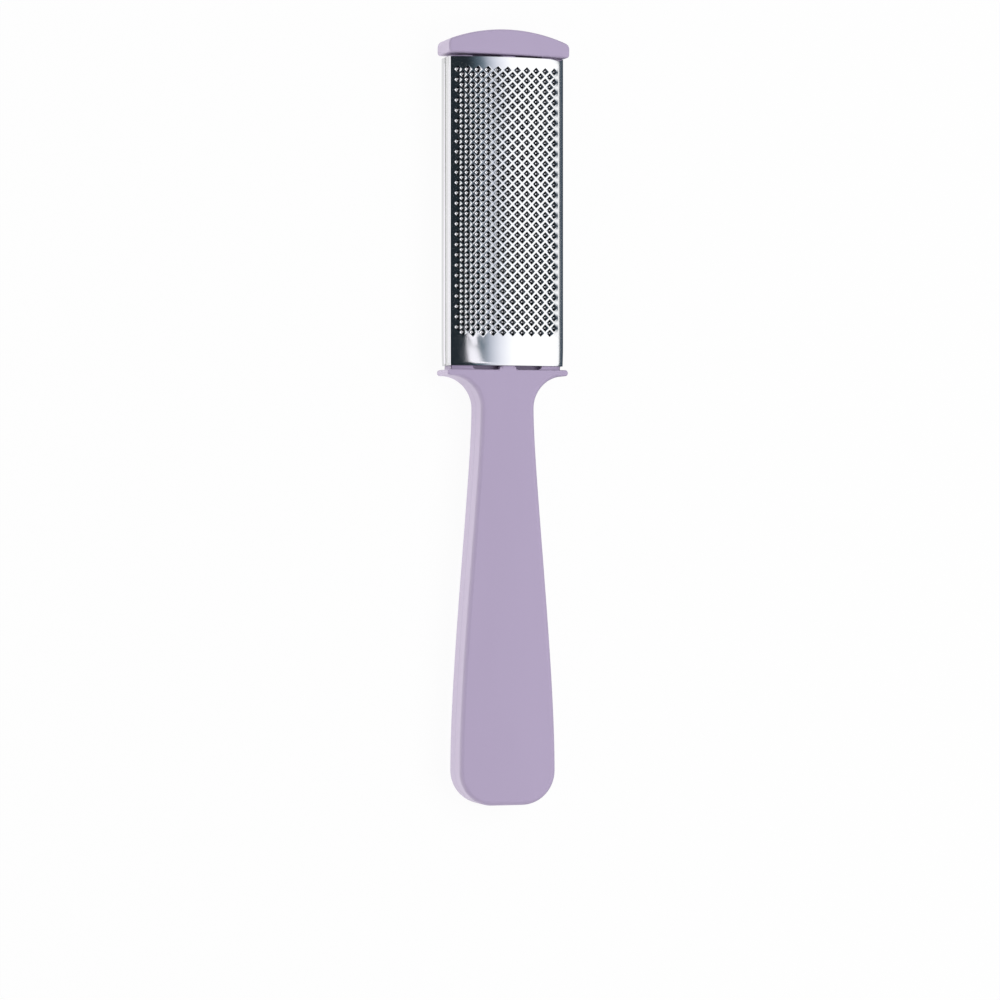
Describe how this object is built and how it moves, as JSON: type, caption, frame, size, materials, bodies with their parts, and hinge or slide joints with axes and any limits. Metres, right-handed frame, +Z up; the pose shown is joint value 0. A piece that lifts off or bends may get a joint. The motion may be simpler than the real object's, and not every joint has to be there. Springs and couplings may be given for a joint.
{
  "type": "foot rasp",
  "caption": "Flat paddle-handled foot rasp: a folded steel tube sleeve with fine raised teeth in front and coarse ones behind, held on a flanged plastic handle by a crowned end cap.",
  "frame": {"origin": "centre of the outline, on the level of the lowest coarse teeth that the tool lies on", "axes": "+X across the tool, +Y along it from the handle's end to the end cap, +Z up out of the fine-toothed side"},
  "size_m": [0.0334, 0.205, 0.013],
  "materials": {
    "handle": "satin lavender moulding",
    "rasp_sleeve": "polished stainless sheet",
    "end_cap": "satin lavender moulding"
  },
  "bodies": {
    "root": {"handle": "handle", "rasp_sleeve": "rasp_sleeve", "end_cap": "end_cap"}
  },
  "joints": []
}
